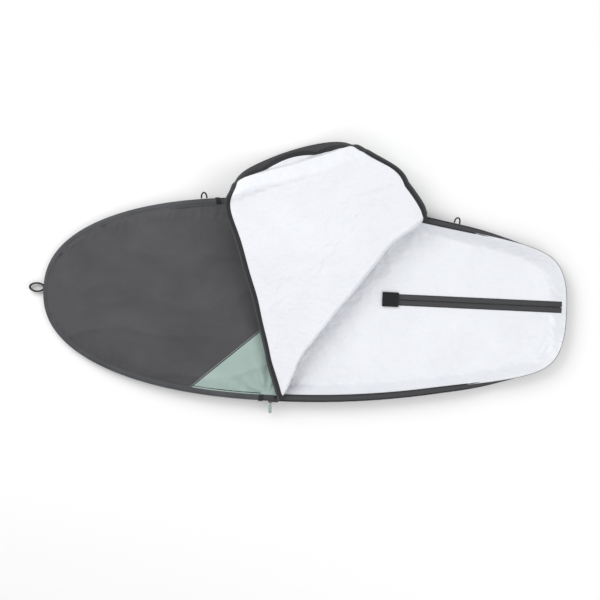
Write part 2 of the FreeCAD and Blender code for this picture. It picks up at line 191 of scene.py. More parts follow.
def outline(half, x_from, x_to):
    """The +Y side of an outline as a function of the share of its length."""
    fine = []
    for i in range(3001):
        x = x_from + (x_to - x_from) * (1 - math.cos(math.pi * i / 3000)) / 2
        fine.append(Vector((x, half(x))))
    walked = [0.0]
    for a, b in zip(fine, fine[1:]):
        walked.append(walked[-1] + (b - a).length)

    def at(share):
        goal = walked[-1] * min(1.0, max(0.0, share))
        low, high = 0, len(walked) - 1
        while high - low > 1:
            mid = (low + high) // 2
            if walked[mid] <= goal:
                low = mid
            else:
                high = mid
        step = walked[high] - walked[low]
        part = (goal - walked[low]) / step if step else 0.0
        return fine[low].lerp(fine[high], part)
    at.length = walked[-1]
    return at


RIM = outline(rim_half, -LENGTH / 2, LENGTH / 2)


def round_rim(share):
    """A point on the rim, once round from the nose along -Y to the tail and back along +Y."""
    p = RIM(2 * share if share <= 0.5 else 2 - 2 * share)
    return p.x, (-p.y if share < 0.5 else p.y)


def across_lid(low, high):
    """The ends of a line across the lid, at X low on the -Y edge and X high on the +Y edge."""
    return Vector((low, -lid_half(low))), Vector((high, lid_half(high)))


def crown(x, y):
    """How far the nose panel swells upwards between its edges."""
    a, b = across_lid(*LINES[0][:2])
    d = b - a
    away = (d.x * (y - a.y) - d.y * (x - a.x)) / d.length
    across = min(1.0, abs(y) / max(1.0, half_inside(x, 22)))
    return CROWN * (1 - across ** 4) * smooth(away / CROWN_FADE) * smooth((x + LENGTH / 2) / 400)


def folds(x, y, size, seed=0.0):
    """Soft uneven wrinkles, about -1 to 1, for a wrinkle length in mm."""
    p = Vector((x / size, y / size, seed))
    return noise.noise(p) + 0.5 * noise.noise(p * 2.1)


def crease(x, y, size, seed=0.0):
    """Sharper creases, 0 on the flats and 1 along the ridges."""
    p = Vector((x / size, y / size, seed))
    return (1 - abs(noise.noise(p)) * 2.2) ** 3 if abs(noise.noise(p)) < 0.45 else 0.0


# ---------------------------------------------------------------- lid
def line_ends(low, high):
    return Vector((low, -lid_half(low), AXIS_Z)), Vector((high, lid_half(high), AXIS_Z))


def turned_back(p, k, share):
    """A point of the flat closed lid, turned by line k in part and by all lines before it."""
    for i in range(k, -1, -1):
        low, high, angle, kind = LINES[i][:4]
        a, b = line_ends(low, high)
        angle = math.radians(angle) * (share if i == k else 1.0)
        if kind == "shear":
            turn = Matrix.Rotation(-angle, 3, "Z")
        else:
            turn = Matrix.Rotation(angle, 3, a - b)
        p = a + turn @ (p - a)
    return p


def chord(k, u):
    """X on both edges for the line across the lid at share u of piece k."""
    low_a, high_a = CUTS[k]
    if k + 1 < len(CUTS):
        low_b, high_b = CUTS[k + 1]
        return low_a + (low_b - low_a) * u, high_a + (high_b - high_a) * u
    return low_a, high_a


def chord_point(k, u, side, gap):
    """Where that line meets the lid's edge moved inwards by gap."""
    low, high = chord(k, u)
    a, b = across_lid(low, high)
    if side > 0:
        a, b = b, a
    if gap <= 0:
        return a
    t_out, t_in = 0.0, 0.4
    for _ in range(26):
        t = (t_out + t_in) / 2
        p = a.lerp(b, t)
        if abs(p.y) > lid_half(p.x, gap):
            t_out = t
        else:
            t_in = t
    return a.lerp(b, t_in)


def turn_share(k, u):
    """How far a point at share u of piece k has turned with the second body."""
    if k < 3:
        return smooth(u)
    if k == 3:
        return smooth(u / 0.35)
    if k == 4:
        return smooth((u - 0.80) / 0.20)
    return smooth(u / 0.40)


def slack(p):
    """How the soft lid lies off its hinge lines when open: the roll bows towards the nose."""
    a, b = across_lid(LINES[0][0], LINES[2][1])
    d = (b - a).normalized()
    n = Vector((d.y, -d.x))
    rel = Vector((p.x, p.y)) - a
    along, away = rel.dot(d) / (b - a).length, rel.dot(n)
    bow = ROLL_BOW * smooth(along / 0.25) * smooth((1.0 - along) / 0.22) * smooth(1 - abs(away) / 330)
    shift = -n * bow
    shift.y -= TIP_BACK * smooth((p.y - 330) / 210)
    for (x, y), reach, (dx, dy) in LID_PULLS:
        near = math.exp(-((p.x - x) ** 2 + (p.y - y) ** 2) / (2 * reach * reach))
        shift += Vector((dx, dy)) * near
    return Vector((p.x + shift.x, p.y + shift.y, p.z))


def lid_place(k, u, flat, height, more=0.0):
    """Open position of a lid point given flat, at a height above the lid's underside."""
    p = Vector((flat.x, flat.y, LID_Z + height))
    return slack(turned_back(p, k, turn_share(k, u) * (1 + more)))


def curl(k, flat):
    """The free tip hangs a little steeper, and its edge flares back out."""
    if k < 5:
        return 0.0
    share = tip_share(flat)
    edge = max(0.0, min(lid_half(min(flat.x, LID_TAIL_X - 1)) - abs(flat.y), LID_TAIL_X - flat.x))
    flare = TIP_FLARE * smooth(1 - edge / FLARE_REACH) * smooth(share / 0.6)
    return TIP_CURL * smooth(share / 0.4) - flare


def tip_edge(gap):
    """The lid's edge beyond the last cut, from its -Y end to its +Y end, by share."""
    a = chord_point(5, 0, -1, gap)
    b = chord_point(5, 0, 1, gap)
    low = outline(lambda x: lid_half(x, gap), a.x, LID_TAIL_X - gap)
    high = outline(lambda x: lid_half(x, gap), b.x, LID_TAIL_X - gap)
    part = low.length / (low.length + high.length)

    def at(share):
        if share <= part:
            p = low(share / part)
            return Vector((p.x, -p.y))
        return high((1 - share) / (1 - part))
    return at


def tip_share(flat):
    """Share of the tip piece, from the last cut to the tail."""
    a = chord_point(5, 0, -1, 0)
    b = chord_point(5, 0, 1, 0)
    d = (b - a).normalized()
    return max(0.0, (flat - a).dot(Vector((d.y, -d.x)))) / TIP_DEPTH


# ---------------------------------------------------------------- pieces
def grid_piece(name, columns, rows, place, size=(1.0, 1.0), flip=False, part=None):
    """A grid of points put in place one by one; place gives mm, and may give a turn share too."""
    bm = bmesh.new()
    uv = bm.loops.layers.uv.new("UVMap")
    hold = bm.verts.layers.float.new("hold")
    bmesh.ops.create_grid(bm, x_segments=columns, y_segments=rows, size=0.5)
    for face in bm.faces:
        for loop in face.loops:
            co = loop.vert.co
            loop[uv].uv = ((co.x + 0.5) * size[0] * MM, (co.y + 0.5) * size[1] * MM)
    for v in bm.verts:
        got = place(v.co.x + 0.5, v.co.y + 0.5)
        if isinstance(got, tuple):
            v[hold] = got[1]
            got = got[0]
        v.co = got * MM
    bmesh.ops.remove_doubles(bm, verts=bm.verts, dist=2e-5)
    if part:
        part(bm)
    if flip:
        bmesh.ops.reverse_faces(bm, faces=bm.faces)
    return finish_mesh(name, bm)


def finish_mesh(name, bm):
    mesh = bpy.data.meshes.new(name)
    for face in bm.faces:
        face.smooth = True
    bm.to_mesh(mesh)
    bm.free()
    obj = bpy.data.objects.new(name, mesh)
    bpy.context.scene.collection.objects.link(obj)
    return obj


def dress(obj, material, body=None, nodes=()):
    """Material, body and the CAD nodes the piece stands for."""
    obj.data.materials.clear()
    obj.data.materials.append(material)
    if body:
        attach(obj, body)
    if nodes:
        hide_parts(*nodes)
    return obj


def bend(obj, k):
    """Spreads line k's turn over the piece by the shares kept in its mesh."""
    a, b = line_ends(LINES[k][0], LINES[k][1])
    mid = turned_back((a + b) / 2, k, 0.0) * MM
    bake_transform(obj, LINES[k][4], LINES[k][5], start=mid, end=mid + Vector((0.02, 0, 0.0)))
    kept = [d.value for d in obj.data.attributes["hold"].data]
    for d, share in zip(obj.data.attributes["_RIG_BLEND"].data, kept):
        d.value = share
    return obj


def sweep_piece(name, path, length, profile, columns, closed=True, flip=False):
    """A section carried along the rim; profile gives (inset, z) pairs for an x."""
    count = len(profile(0.0))
    rows = count if closed else count - 1

    def place(a, b):
        x, y = path(a)
        gap, z = profile(x)[round(b * rows) % count]
        px, py = inset((x, y), gap)
        return Vector((px, py, z))
    return grid_piece(name, columns, rows, place, (length, 30.0), flip)


# ---------------------------------------------------------------- finishes
def linear(code):
    """A hex sRGB colour as linear red, green, blue and alpha."""
    out = []
    for i in (0, 2, 4):
        c = int(code[i:i + 2], 16) / 255
        out.append(c / 12.92 if c <= 0.04045 else ((c + 0.055) / 1.055) ** 2.4)
    return out + [1.0]


def add(tree, kind, settings=None, links=None):
    """Adds one shader node, sets its values and links its inputs."""
    node = tree.nodes.new(kind)
    for key, value in (settings or {}).items():
        if key in node.inputs:
            node.inputs[key].default_value = value
        else:
            setattr(node, key, value)
    for key, source in (links or {}).items():
        tree.links.new(source, node.inputs[key])
    return node


def finish(name, roughness, specular=0.5, sheen=0.0, metallic=0.0):
    """A new material with its surface shader; returns the material, its tree and the shader."""
    material = bpy.data.materials.new(name)
    material.use_nodes = True
    tree = material.node_tree
    shader = tree.nodes["Principled BSDF"]
    shader.inputs["Roughness"].default_value = roughness
    shader.inputs["Specular IOR Level"].default_value = specular
    shader.inputs["Sheen Weight"].default_value = sheen
    shader.inputs["Metallic"].default_value = metallic
    return material, tree, shader


def pattern_space(tree, coords, pitch_mm, stretch=(1, 1, 1), turn=0.0):
    """Coordinates in which one unit is pitch_mm."""
    source = add(tree, "ShaderNodeTexCoord").outputs[coords]
    scale = [1000.0 / pitch_mm * s for s in stretch]
    return add(tree, "ShaderNodeMapping", {"Scale": scale, "Rotation": (0, 0, turn)},
               {"Vector": source}).outputs["Vector"]


def toned(tree, shader, factor, dark, light):
    """Colour that wanders between two tones."""
    ramp = add(tree, "ShaderNodeValToRGB", links={"Fac": factor})
    ramp.color_ramp.elements[0].position = 0.3
    ramp.color_ramp.elements[0].color = dark
    ramp.color_ramp.elements[1].position = 0.7
    ramp.color_ramp.elements[1].color = light
    tree.links.new(ramp.outputs["Color"], shader.inputs["Base Color"])


def mottle(tree, pitch_mm, detail, roughness=0.5, stretch=(1, 1, 1)):
    """Noise fixed to the object, with blotches about pitch_mm apart."""
    return add(tree, "ShaderNodeTexNoise", {"Scale": 1.0, "Detail": detail, "Roughness": roughness},
               {"Vector": pattern_space(tree, "Object", pitch_mm, stretch)}).outputs["Fac"]


def bumped(tree, shader, *layers):
    """Relief from coarse to fine, each layer as (height, strength, depth in mm)."""
    below = {}
    for height, strength, depth_mm in layers:
        bump = add(tree, "ShaderNodeBump", {"Strength": strength, "Distance": depth_mm * MM},
                   {"Height": height, **below})
        below = {"Normal": bump.outputs["Normal"]}
    tree.links.new(below["Normal"], shader.inputs["Normal"])


def woven_polyester(name, dark, light):
    # 600 denier polyester in plain weave, calendered: matt, with a faint sheen at a low angle.
    # The real threads are 0.5 mm apart; they are drawn at 1.5 mm so that they show.
    material, tree, shader = finish(name, 0.78, 0.3, 0.12)
    space = pattern_space(tree, "Object", 1.5)
    warp = add(tree, "ShaderNodeTexWave", {"bands_direction": "X", "Scale": 0.32}, {"Vector": space})
    weft = add(tree, "ShaderNodeTexWave", {"bands_direction": "Y", "Scale": 0.32}, {"Vector": space})
    weave = add(tree, "ShaderNodeMath", {"operation": "MAXIMUM"},
                {0: warp.outputs["Fac"], 1: weft.outputs["Fac"]})
    toned(tree, shader, mottle(tree, 140.0, 3.0, stretch=(1, 1.4, 1)), dark, light)
    bumped(tree, shader, (mottle(tree, 55.0, 5.0, 0.55), 0.55, 6.0), (weave.outputs[0], 0.25, 0.3))
    return material


def foil_lining(name, dark, light):
    # Aluminised film bonded to foam and lacquered white: pale, half gloss, crackled by handling.
    material, tree, shader = finish(name, 0.30, 0.5)
    cracks = add(tree, "ShaderNodeTexVoronoi", {"feature": "DISTANCE_TO_EDGE", "Scale": 1.0},
                 {"Vector": pattern_space(tree, "Object", 48.0, (1, 1.7, 1), 0.5)})
    soft = add(tree, "ShaderNodeMapRange", {"From Max": 0.22}, {"Value": cracks.outputs["Distance"]})
    toned(tree, shader, mottle(tree, 160.0, 2.0), dark, light)
    bumped(tree, shader, (soft.outputs["Result"], 0.16, 4.0), (mottle(tree, 26.0, 6.0, 0.6), 0.6, 6.0))
    return material


def ribbed_band(name, dark, light, pitch_mm, along, depth_mm, roughness=0.7):
    # Woven narrow goods: ribs run across or along the band, matt, slightly worn on the ridges.
    material, tree, shader = finish(name, roughness, 0.35, 0.08)
    space = pattern_space(tree, "UV", pitch_mm)
    ribs = add(tree, "ShaderNodeTexWave", {"bands_direction": "X" if along else "Y", "Scale": 0.314},
               {"Vector": space})
    toned(tree, shader, mottle(tree, 60.0, 3.0), dark, light)
    bumped(tree, shader, (ribs.outputs["Fac"], 0.7, depth_mm))
    return material


def grained(name, dark, light, grain_mm, depth_mm, roughness, specular=0.5, metallic=0.0, sheen=0.0):
    # Moulded, cast or brushed-pile surfaces: an even grain with a slight change of tone.
    material, tree, shader = finish(name, roughness, specular, sheen, metallic)
    grain = mottle(tree, grain_mm, 4.0)
    toned(tree, shader, grain, dark, light)
    bumped(tree, shader, (grain, 0.5, depth_mm))
    return material


def made(name, maker, *args, **words):
    """The finish of this name, made once."""
    return bpy.data.materials.get(name) or maker(name, *args, **words)


def colours():
    return bpy.context.scene.bag_colours


def sizes():
    return bpy.context.scene.bag_sizes


def shade(colour, factor):
    return [c * factor for c in colour[:3]] + [1.0]


def dark_cloth():
    c = colours().dark_cloth
    return made("woven_polyester_dark", woven_polyester, shade(c, 0.9), shade(c, 1.12))


def light_cloth():
    c = colours().light_cloth
    return made("woven_polyester_light", woven_polyester, shade(c, 0.95), shade(c, 1.05))


def lining():
    c = colours().lining
    return made("foil_lining", foil_lining, shade(c, 0.97), shade(c, 1.02))


def grey_tape():
    c = colours().tape
    return made("zip_tape", ribbed_band, shade(c, 0.85), shade(c, 1.2), 4.0, False, 0.8)


def black_binding():
    c = colours().webbing
    return made("binding_tape", ribbed_band, shade(c, 0.9), shade(c, 1.3), 3.0, True, 0.4)


def grey_binding():
    c = colours().tape
    return made("binding_tape_grey", ribbed_band, shade(c, 0.95), shade(c, 1.3), 5.0, False, 0.5)


def coil_teeth():
    c = colours().webbing
    return made("nylon_coil", ribbed_band, shade(c, 0.7), shade(c, 1.3), 3.2, True, 1.2, 0.45)


def webbing():
    c = colours().webbing
    return made("webbing", ribbed_band, shade(c, 0.9), shade(c, 1.4), 2.4, True, 0.6)


def hook_loop():
    c = colours().patch
    return made("hook_and_loop", grained, shade(c, 0.8), shade(c, 1.4), 1.6, 0.8, 0.95, 0.2, 0.0, 0.3)


def zip_metal():
    c = linear("2C2D2F")
    return made("painted_zinc", grained, c, shade(c, 1.3), 6.0, 0.02, 0.35, 0.5)


def pull_rubber():
    c = colours().light_cloth
    return made("moulded_rubber", grained, shade(c, 0.9), shade(c, 1.05), 3.0, 0.05, 0.55, 0.4)


def thread():
    c = linear("3A3B3D")
    return made("stitching_thread", ribbed_band, c, shade(c, 1.4), 4.0, True, 0.5)


class BagSizes(bpy.types.PropertyGroup):
    wrinkle: FloatProperty(name="Wrinkle depth", description="How deep the soft wrinkles are",
                           default=0.0050, min=0.0, max=0.01, unit="LENGTH")
    wrinkle_length: FloatProperty(name="Wrinkle length",
                                  description="From one soft wrinkle to the next",
                                  default=0.110, min=0.02, max=0.5, unit="LENGTH")
    camera_height: FloatProperty(name="Camera height", description="Camera above the floor",
                                 default=4.0, min=1.0, max=10.0, unit="LENGTH")
    detail: IntProperty(name="Detail", description="Grid steps along the long pieces",
                        default=320, min=60, max=800)


def swatch(name, about, code):
    """A colour property with a hex sRGB default."""
    return FloatVectorProperty(name=name, description=about, subtype="COLOR", size=4, min=0, max=1,
                               default=linear(code))


class BagColours(bpy.types.PropertyGroup):
    dark_cloth: swatch("Dark cloth", "Cloth of the nose and the tray", "4A4A4C")
    light_cloth: swatch("Light cloth", "Cloth of the lid's tail half", "9FB2AC")
    lining: swatch("Lining", "Pale film inside the bag", "E5E7EC")
    tape: swatch("Zip tape", "Tape of the zips", "434447")
    webbing: swatch("Webbing", "Loops, binding and coil", "242527")
    patch: swatch("Patch", "Hook-and-loop patch", "1E1F20")


# ---------------------------------------------------------------- tray
def tray_height(gap, x):
    """Upper side of the tray lining: flat floor, rounded crease, slanted wall."""
    top = wall_top(x)
    wall = rim_z(x) - (rim_z(x) - PANEL) * (gap - top) / (FLOOR_INSET - top)
    soft = 9.0
    d = wall - PANEL
    rounded = PANEL + (d + math.sqrt(d * d + soft * soft)) / 2
    return rounded - 0.5 * soft * math.exp(-abs(d) / 20.0) * 0.3


def tray_gap(b, x):
    """Inset of row b, 0 at the rim and 1 at the middle line."""
    top = wall_top(x)
    if b < TRAY_CREASE_SHARE:
        return top + (TRAY_CREASE_GAP - top) * b / TRAY_CREASE_SHARE
    rest = (b - TRAY_CREASE_SHARE) / (1 - TRAY_CREASE_SHARE)
    return TRAY_CREASE_GAP + (WIDTH / 2 - TRAY_CREASE_GAP) * rest ** 0.9


class BAG_OT_tray(bpy.types.Operator):
    """Builds the lining and the outer cloth of the open tray"""
    bl_idname = "bag.tray"
    bl_label = "Tray"

    def execute(self, context):
        depth = sizes().wrinkle * 1000
        size = sizes().wrinkle_length * 1000

        def upper(a, b):
            x0, y0 = round_rim(a)
            gap = tray_gap(b, x0)
            x, y = inset((x0, y0), gap)
            z = tray_height(gap, x0)
            side = smooth((gap - wall_top(x0)) / 10)
            slot = smooth((abs(y - SLOT_Y) - 26) / 30) if x > 250 else 1.0
            rumple = folds(x, y, size, 3.0) * 0.5 + crease(x, y, size * 0.9, 7.0) * 1.1
            rumple += 0.5 * crease(x * 0.8, y, size * 0.45, 17.0)
            near = math.exp(-((gap - 64) / 20.0) ** 2) * slot
            z += depth * (0.5 * side * slot * (rumple + 0.6))
            z += near * (2.6 * folds(x, y, 62, 9.0) + 2.2 * crease(x, y, 40, 19.0))
            return Vector((x, y, max(z, PANEL + 0.1)))
        inner = grid_piece("tray_lining", sizes().detail * 2, 56, upper, (4800, 360))
        dress(inner, lining(), "bag",
              ("base_lining", "side_lining", "base_foam", "side_foam"))

        def under(a, b):
            x0, y0 = round_rim(a)
            top = wall_top(x0)
            on_wall = b < 0.5
            if on_wall:
                gap = top + (FLOOR_INSET - top) * b / 0.5
            else:
                gap = FLOOR_INSET + (WIDTH / 2 - FLOOR_INSET) * (b - 0.5) / 0.5
            x, y = inset((x0, y0), gap)
            wall = (rim_z(x0) - PANEL) * (FLOOR_INSET - gap) / (FLOOR_INSET - top)
            bulge = 1.6 * math.sin(math.pi * min(1.0, b / 0.5)) * folds(x0, y0, 90, 5.0)
            z = max(0.0, wall) + (max(-1.0, bulge) * 0.5 if on_wall else 0.0)
            return Vector((x, y, z + (0.6 if b < 0.02 else 0.0)))
        outer = grid_piece("tray_cloth", sizes().detail, 24, under, (4800, 360), flip=True)
        dress(outer, dark_cloth(), "bag", ("base_cloth", "side_cloth"))
        return {"FINISHED"}


def tape_section(start, stop, low, high):
    def profile(x):
        angle = math.radians(TURN_DEG * turned(x))
        top, z = wall_top(x), rim_z(x)

        def at(out, up):
            return (top - out * math.cos(angle) - up * math.sin(angle),
                    z - out * math.sin(angle) + up * math.cos(angle))
        return [at(start, low), at(stop, low), at(stop + 0.4, (low + high) / 2), at(stop, high),
                at(start, high)]
    return profile


def end_way(x_low, x_high, nose):
    """The rim from x_low on the -Y side, round the nose or the tail, to x_high on the +Y side."""
    low, high = [outline(rim_half, -LENGTH / 2, x) if nose else outline(rim_half, x, LENGTH / 2)
                 for x in (x_low, x_high)]
    part = low.length / (low.length + high.length)

    def at(share):
        if share <= part:
            p = low(1 - share / part if nose else share / part)
            return p.x, -p.y
        p = high((share - part) / (1 - part) if nose else (1 - share) / (1 - part))
        return p.x, p.y
    return at, low.length + high.length


def side_way(side, x_from, x_to):
    line = outline(rim_half, x_from, x_to)

    def at(share):
        p = line(share)
        return p.x, side * p.y
    return at, line.length


class BAG_OT_rim(bpy.types.Operator):
    """Builds the zip tape, its coil and the piping on the rim of the tray"""
    bl_idname = "bag.rim"
    bl_label = "Rim zip"

    def execute(self, context):
        way, length = end_way(ZIP_END[0] + 8, ZIP_END[1] + 8, nose=False)
        steps = sizes().detail * 2
        tape = sweep_piece("rim_tape_piece", way, length, tape_section(-2, 16, 0.0, 1.4), steps)
        dress(tape, grey_tape(), "bag", ("rim_tape",))
        coil = sweep_piece("rim_coil_piece", way, length, tape_section(15.5, 19.6, -0.6, 1.8), steps)
        dress(coil, coil_teeth(), "bag", ("rim_coil",))

        def piping(x):
            top, z = wall_top(x) + 0.5, rim_z(x) - 8 * turned(x)
            return [(top, z + 0.4), (top + 1.2, z + 1.3), (top + 4, z + 1.3), (top + 6, z - 1.2),
                    (top + 3, z - 1.5)]
        edge = sweep_piece("rim_piping_piece", way, length, piping, steps, flip=True)
        dress(edge, black_binding(), "bag", ("rim_piping",))
        return {"FINISHED"}


# ---------------------------------------------------------------- nose
def fold_x(y_share):
    """X where a line of constant share of the half width meets the first lid cut."""
    low, high = CUTS[0]
    a, b = across_lid(low, high)
    x_low, x_high = low - 5, high + 30
    for _ in range(32):
        x = (x_low + x_high) / 2
        y = y_share * half_inside(x, NOSE_GAP)
        if (b.x - a.x) * (y - a.y) - (b.y - a.y) * (x - a.x) > 0:
            x_low = x
        else:
            x_high = x
    return x_low


def nose_point(a, b, height):
    share = math.sin(math.pi / 2 * (2 * b - 1))
    share = 0.5 * share + 0.5 * (2 * b - 1)
    end = fold_x(share)
    start = -LENGTH / 2 + 16
    x = start + (end - start) * (0.5 * a + 0.5 * a ** 1.8)
    y = share * half_inside(x, NOSE_GAP)
    edge = smooth((1 - abs(share)) / 0.12)
    rise = crown(x, y) * edge
    p = Vector((x, y, rim_z(x) + 1.5 + height + rise - (1 - edge) * (1.5 if height > 3 else 0.0)))
    return p.lerp(slack(p), smooth((a - 0.75) / 0.25))


CORNER_PULL = Vector((-118.0, -352.0, 60.0))


def pucker(p):
    """Soft wrinkles of the nose cloth, deeper along its sewn edge."""
    depth = sizes().wrinkle * 1000
    size = sizes().wrinkle_length * 1000
    side = min(1.0, abs(p.y) / max(1.0, half_inside(p.x, NOSE_GAP)))
    a, b = across_lid(*CUTS[0])
    d = (b - a).normalized()
    away = d.x * (p.y - a.y) - d.y * (p.x - a.x)
    calm = smooth(away / 90) * smooth((1 - side) / 0.06)
    soft = (1.3 * folds(p.x * 0.8, p.y * 0.6, size * 1.5, 1.0)
            + 1.5 * crease(p.x * 0.55, p.y, size * 1.3, 2.0))
    near = smooth((side - 0.78) / 0.15) * smooth((1 - side) / 0.03)
    pull = near * (folds(p.x * 1.4, side * 60, 26, 4.0) + crease(p.x, side * 50, 30, 6.0)) * 0.9
    tug = p - CORNER_PULL
    ray = math.atan2(tug.y, tug.x)
    gathers = math.exp(-(tug.x ** 2 + tug.y ** 2) / 19000) * smooth(math.hypot(tug.x, tug.y) / 50)
    pull += 1.5 * gathers * math.sin(11 * ray + 2.2 * noise.noise(Vector((tug.x / 60, tug.y / 60, 1))))
    return Vector((p.x, p.y, p.z + depth * calm * (0.75 * soft + pull)))


def seam_side(sign):
    """Keeps the part of the nose cloth on one side of the seam."""
    def part(bm):
        d = SEAM_B - SEAM_A
        bmesh.ops.bisect_plane(
            bm, geom=bm.verts[:] + bm.edges[:] + bm.faces[:], dist=1e-6,
            plane_co=Vector((SEAM_A.x, SEAM_A.y, 0)) * MM, plane_no=Vector((d.y, -d.x, 0)) * sign,
            clear_outer=True)
    return part


class BAG_OT_nose(bpy.types.Operator):
    """Builds the nose panel: dark and light cloth, lining, seam, binding and zip ends"""
    bl_idname = "bag.nose"
    bl_label = "Nose panel"

    def execute(self, context):
        steps = sizes().detail // 2 + 60
        for name, sign, material, slot, node in (
                ("nose_dark_cloth", 1, dark_cloth(), "cloth_dark", "nose_cloth_dark"),
                ("nose_light_cloth", -1, light_cloth(), "cloth_light", "nose_cloth_light")):
            cloth = grid_piece(name, steps, 110, lambda a, b: pucker(nose_point(a, b, PANEL)),
                               (1300, 700), part=seam_side(sign))
            dress(cloth, material, "bag", (node, "nose_foam") if sign > 0 else (node,))
        under = grid_piece("nose_lining_piece", 120, 60,
                           lambda a, b: nose_point(a, b, 0.0), (1300, 700), flip=True)
        dress(under, lining(), "bag", ("nose_lining",))

        d = (SEAM_B - SEAM_A).normalized()
        side = Vector((d.y, -d.x))
        start = SEAM_A - d * 6
        reach = (Vector((345, 330)) - start).dot(d)
        for row, shift in enumerate((-3.5, 3.5)):
            def stitched(a, b, shift=shift):
                flat = start + d * reach * a + side * (shift + 2.2 * math.cos(math.pi * b))
                x, y = flat
                share = y / max(1.0, half_inside(x, NOSE_GAP))
                edge = smooth((1 - abs(share)) / 0.12)
                p = Vector((x, y, rim_z(x) + 1.5 + PANEL + crown(x, y) * edge - (1 - edge) * 1.5))
                p = pucker(p)
                stitch = 0.35 * abs(math.sin(math.pi * reach * a / STITCH_PITCH))
                return p + Vector((0, 0, 0.3 + math.sin(math.pi * b) * (0.6 + stitch)))
            seam = grid_piece("seam_row_%d" % (row + 1), 320, 4, stitched, (reach, 5))
            dress(seam, dark_cloth(), "bag")

        way, length = end_way(ZIP_END[0] - 4, ZIP_END[1] - 4, nose=True)

        def binding(x):
            z = rim_z(x)
            return [(20, z - 5), (5, z - 4), (1, z - 1.5), (0, z + 1), (1.2, z + 4), (5, z + 6.4),
                    (12, z + 7.8), (20, z + 8.2), (22, z + 7), (22, z + 1.5)]
        edge = sweep_piece("nose_binding_piece", way, length, binding, sizes().detail * 2, flip=True)
        dress(edge, grey_binding(), "bag", ("nose_binding",))

        def stitch_line(x):
            z = rim_z(x) + 8.3
            return [(25.5, z + 0.3), (26.2, z + 1.2), (27.8, z + 1.2), (28.5, z + 0.3)]
        sewn = sweep_piece("nose_stitching", way, length, stitch_line, sizes().detail * 3,
                           closed=False)
        dress(sewn, thread(), "bag")

        def cover(x):
            z = rim_z(x)
            return [(19, z - 6), (1, z - 5), (-2.6, z + 1), (0, z + 8), (8, z + 10), (22, z + 10),
                    (22, z + 2)]
        for name, s, x in (("zip_end_low", -1, ZIP_END[0]), ("zip_end_high", 1, ZIP_END[1])):
            way, length = side_way(s, x - 8, x + 8)
            end = sweep_piece(name + "_piece", way, length, cover, 10, flip=s > 0)
            mend(end)
            dress(end, webbing(), "bag", (name,))

        def closed_tape(x):
            z = rim_z(x)
            return [(4, z + 3.9), (3.6, z + 4.5), (4, z + 5.1), (14, z + 6.2), (22, z + 8.4),
                    (22, z + 3.9)]
        for name, s, x0, x1 in (("closed_tape_high", 1, ZIP_END[1] + 8, CUTS[0][1]),
                                ("closed_tape_low", -1, ZIP_END[0] + 8, CUTS[0][0])):
            way, length = side_way(s, x0, x1)
            tape = sweep_piece(name + "_piece", way, length, closed_tape, 120, flip=s > 0)
            dress(tape, grey_tape(), "bag", (name,))
        return {"FINISHED"}


def mend(obj, close=True):
    """Turns a piece's faces outwards, and fills its open ends if asked."""
    bm = bmesh.new()
    bm.from_mesh(obj.data)
    if close:
        bmesh.ops.holes_fill(bm, edges=[e for e in bm.edges if e.is_boundary], sides=0)
    bmesh.ops.recalc_face_normals(bm, faces=bm.faces)
    bm.to_mesh(obj.data)
    bm.free()


# ---------------------------------------------------------------- lid
LID_BODIES = ["turn_1", "turn_2", "turn_3", "main", "bend", "tip"]
EDGE_GAP = 20.0
STEPS = [8, 8, 8, 90, 90, 50]


def lid_sheet(name, k, height, material, layer, wrinkle, flip):
    """One layer of piece k of the lid, inside the edge tape."""
    rows = 110
    ends = [(chord_point(k, i / STEPS[k], -1, EDGE_GAP), chord_point(k, i / STEPS[k], 1, EDGE_GAP))
            for i in range(STEPS[k] + 1)] if k < 5 else None
    tip = tip_edge(EDGE_GAP) if k == 5 else None
    chord_a, chord_b = chord_point(5, 0, -1, EDGE_GAP), chord_point(5, 0, 1, EDGE_GAP)

    def place(a, b):
        if k < 5:
            low, high = ends[round(a * STEPS[k])]
            flat = low.lerp(high, b)
            u = a
            edge = min(b, 1 - b) * (high - low).length
        else:
            rim = tip(b)
            flat = chord_a.lerp(chord_b, b).lerp(rim, a)
            u = tip_share(flat)
            edge = min(abs(lid_half(flat.x, EDGE_GAP)) - abs(flat.y), LID_TAIL_X - EDGE_GAP - flat.x)
        calm = smooth(edge / 40)
        h = height + wrinkle * calm * (0.7 * folds(flat.x, flat.y, 150, 11.0)
                                       + 0.35 * crease(flat.x, flat.y * 0.5, 130, 12.0)
                                       + 0.30 * crease(flat.x * 0.7, flat.y, 45, 14.0))
        h += (1 - smooth(edge / 12)) * (3.4 - height) * 0.5
        more = curl(k, flat)
        return lid_place(k, u, flat, h, more), turn_share(k, u) * (1 + more)
    obj = grid_piece(name, STEPS[k], rows, place, (400, 700), flip)
    dress(obj, material, None, ("flap_%s_%s" % (layer, LID_BODIES[k]),))
    return bend(obj, k)


def lid_edge(name, k, section, material, nodes):
    """A band along the edge of piece k of the lid; section gives (inset, height) pairs."""
    count = len(section)
    made_pieces = []
    sides = (-1, 1) if k < 5 else (0,)
    for side in sides:
        steps = max(8, STEPS[k] * 2) if k < 5 else 160
        edges = {gap: tip_edge(gap) for gap, _ in section} if k == 5 else None

        def place(a, b):
            gap, height = section[round(b * count) % count]
            if side:
                flat = chord_point(k, a, side, gap)
                u = a
            else:
                flat = edges[gap](a)
                u = tip_share(flat)
            more = curl(k, flat)
            return lid_place(k, u, flat, height, more), turn_share(k, u) * (1 + more)
        end = {-1: "low", 1: "high", 0: "end"}[side]
        piece = grid_piece("%s_%s" % (name, end), steps, count, place, (400, 30), side > 0)
        dress(piece, material, None, nodes if side <= 0 else ())
        made_pieces.append(bend(piece, k))
    return made_pieces


